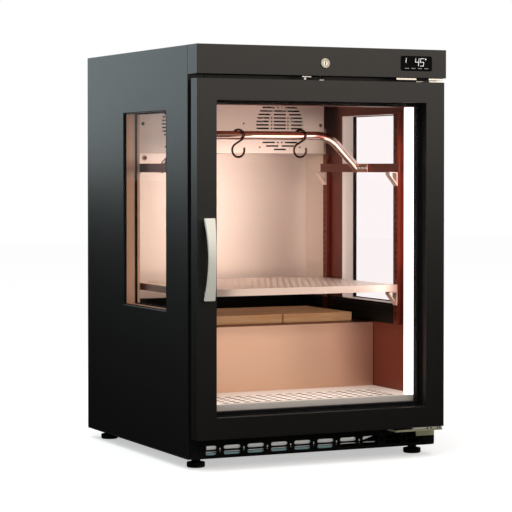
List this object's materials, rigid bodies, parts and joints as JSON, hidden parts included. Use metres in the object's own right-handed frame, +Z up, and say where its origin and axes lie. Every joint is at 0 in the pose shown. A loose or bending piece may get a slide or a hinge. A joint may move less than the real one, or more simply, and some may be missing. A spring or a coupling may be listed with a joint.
{
  "type": "dry aging cabinet",
  "caption": "Glass-door refrigerated cabinet for dry aging, with side windows, hanging bar, shelf, fan-cooled evaporator, lockable canopy and screw feet.",
  "frame": {"origin": "on the floor, under the centre of the outer box, which reaches from the handle to the back of the case", "axes": "+X to the hinge side, +Y to the back, +Z up; the door faces -Y"},
  "size_m": [0.6, 0.679, 0.899],
  "materials": {
    "black_paint": "satin black enamel",
    "black_plastic": "moulded matt black",
    "gloss_black": "gloss black",
    "stainless": "fine brushed",
    "bright_steel": "bright satin",
    "fin_metal": "mill finish",
    "gasket_rubber": "soft matt",
    "pale_wood": "planed, unvarnished",
    "light_white": "opal diffuser",
    "glass": "clear polished"
  },
  "bodies": {
    "cabinet": {"side_wall_left": "black_paint", "side_wall_right": "black_paint", "carcass": "black_paint", "inner_liner": "stainless", "window_outer_pane_left": "glass", "window_inner_pane_left": "glass", "window_outer_pane_right": "glass", "window_inner_pane_right": "glass", "base_pan": "black_paint", "rear_grille": "black_plastic", "canopy": "black_paint", "controller": "gloss_black", "lock_barrel": "bright_steel", "door_switch": "bright_steel", "kick_grille": "black_plastic", "hinge_bottom_bracket": "bright_steel", "hinge_top_bracket": "bright_steel", "light_bar_left": "light_white", "light_bar_right": "light_white", "upright_front_left": "stainless", "upright_rear_left": "stainless", "upright_front_right": "stainless", "upright_rear_right": "stainless", "side_rail_left": "stainless", "side_rail_right": "stainless", "shelf_bracket_front_left": "stainless", "shelf_bracket_rear_left": "stainless", "shelf_bracket_front_right": "stainless", "shelf_bracket_rear_right": "stainless", "shelf": "stainless", "floor_tray": "stainless", "hanging_bar": "bright_steel", "board_1": "pale_wood", "board_2": "pale_wood", "evaporator_cover": "stainless", "evaporator_coil": "fin_metal", "compressor": "black_paint", "condenser": "fin_metal"},
    "door": {"door_frame": "black_paint", "door_front_pane": "glass", "door_spacer": "black_plastic", "door_rear_pane": "glass", "door_gasket": "gasket_rubber", "handle": "bright_steel", "hinge_door_plate": "bright_steel", "lock_keeper": "bright_steel"},
    "lock": {"lock_plug": "bright_steel"},
    "key_1": {"key_1": "gloss_black"},
    "key_2": {"key_2": "gloss_black"},
    "key_3": {"key_3": "gloss_black"},
    "key_4": {"key_4": "gloss_black"},
    "hook_1": {"s_hook_1": "bright_steel"},
    "hook_2": {"s_hook_2": "bright_steel"},
    "fan_left": {"evaporator_fan_left": "black_plastic"},
    "fan_right": {"evaporator_fan_right": "black_plastic"},
    "fan_condenser": {"condenser_fan": "black_plastic"},
    "foot_front_left": {"foot_front_left": "black_plastic"},
    "foot_rear_left": {"foot_rear_left": "black_plastic"},
    "foot_front_right": {"foot_front_right": "black_plastic"},
    "foot_rear_right": {"foot_rear_right": "black_plastic"}
  },
  "joints": [
    {"name": "door_hinge", "type": "hinge", "parent": "cabinet", "child": "door", "pos_m": [0.284, -0.2895, 0.4476], "axis": [0, 0, 1], "range_deg": [0, 110]},
    {"name": "lock_turn", "type": "hinge", "parent": "cabinet", "child": "lock", "pos_m": [0, -0.3035, 0.8636], "axis": [0, -1, 0], "range_deg": [0, 90]},
    {"name": "key_1_press", "type": "slide", "parent": "cabinet", "child": "key_1", "axis": [0, 1, 0], "range_m": [0, 0.0006], "stiffness_N_per_m": 200},
    {"name": "key_2_press", "type": "slide", "parent": "cabinet", "child": "key_2", "axis": [0, 1, 0], "range_m": [0, 0.0006], "stiffness_N_per_m": 200},
    {"name": "key_3_press", "type": "slide", "parent": "cabinet", "child": "key_3", "axis": [0, 1, 0], "range_m": [0, 0.0006], "stiffness_N_per_m": 200},
    {"name": "key_4_press", "type": "slide", "parent": "cabinet", "child": "key_4", "axis": [0, 1, 0], "range_m": [0, 0.0006], "stiffness_N_per_m": 200},
    {"name": "hook_1_swing", "type": "hinge", "parent": "cabinet", "child": "hook_1", "pos_m": [-0.0583, 0.0085, 0.7136], "axis": [1, 0, 0], "range_deg": [-60, 60]},
    {"name": "hook_2_swing", "type": "hinge", "parent": "cabinet", "child": "hook_2", "pos_m": [0.0988, 0.0085, 0.7136], "axis": [1, 0, 0], "range_deg": [-60, 60]},
    {"name": "fan_left_spin", "type": "hinge", "parent": "cabinet", "child": "fan_left", "pos_m": [-0.121, 0.1747, 0.741], "axis": [0, 1, 0], "continuous": true},
    {"name": "fan_right_spin", "type": "hinge", "parent": "cabinet", "child": "fan_right", "pos_m": [0.121, 0.1747, 0.741], "axis": [0, 1, 0], "continuous": true},
    {"name": "fan_condenser_spin", "type": "hinge", "parent": "cabinet", "child": "fan_condenser", "pos_m": [-0.13, 0.0588, 0.1243], "axis": [0, 1, 0], "continuous": true},
    {"name": "foot_front_left_screw", "type": "hinge", "parent": "cabinet", "child": "foot_front_left", "pos_m": [-0.2645, -0.223, 0.01], "axis": [0, 0, 1], "continuous": true},
    {"name": "foot_rear_left_screw", "type": "hinge", "parent": "cabinet", "child": "foot_rear_left", "pos_m": [-0.2645, 0.2885, 0.01], "axis": [0, 0, 1], "continuous": true},
    {"name": "foot_front_right_screw", "type": "hinge", "parent": "cabinet", "child": "foot_front_right", "pos_m": [0.2645, -0.223, 0.01], "axis": [0, 0, 1], "continuous": true},
    {"name": "foot_rear_right_screw", "type": "hinge", "parent": "cabinet", "child": "foot_rear_right", "pos_m": [0.2645, 0.2885, 0.01], "axis": [0, 0, 1], "continuous": true}
  ]
}
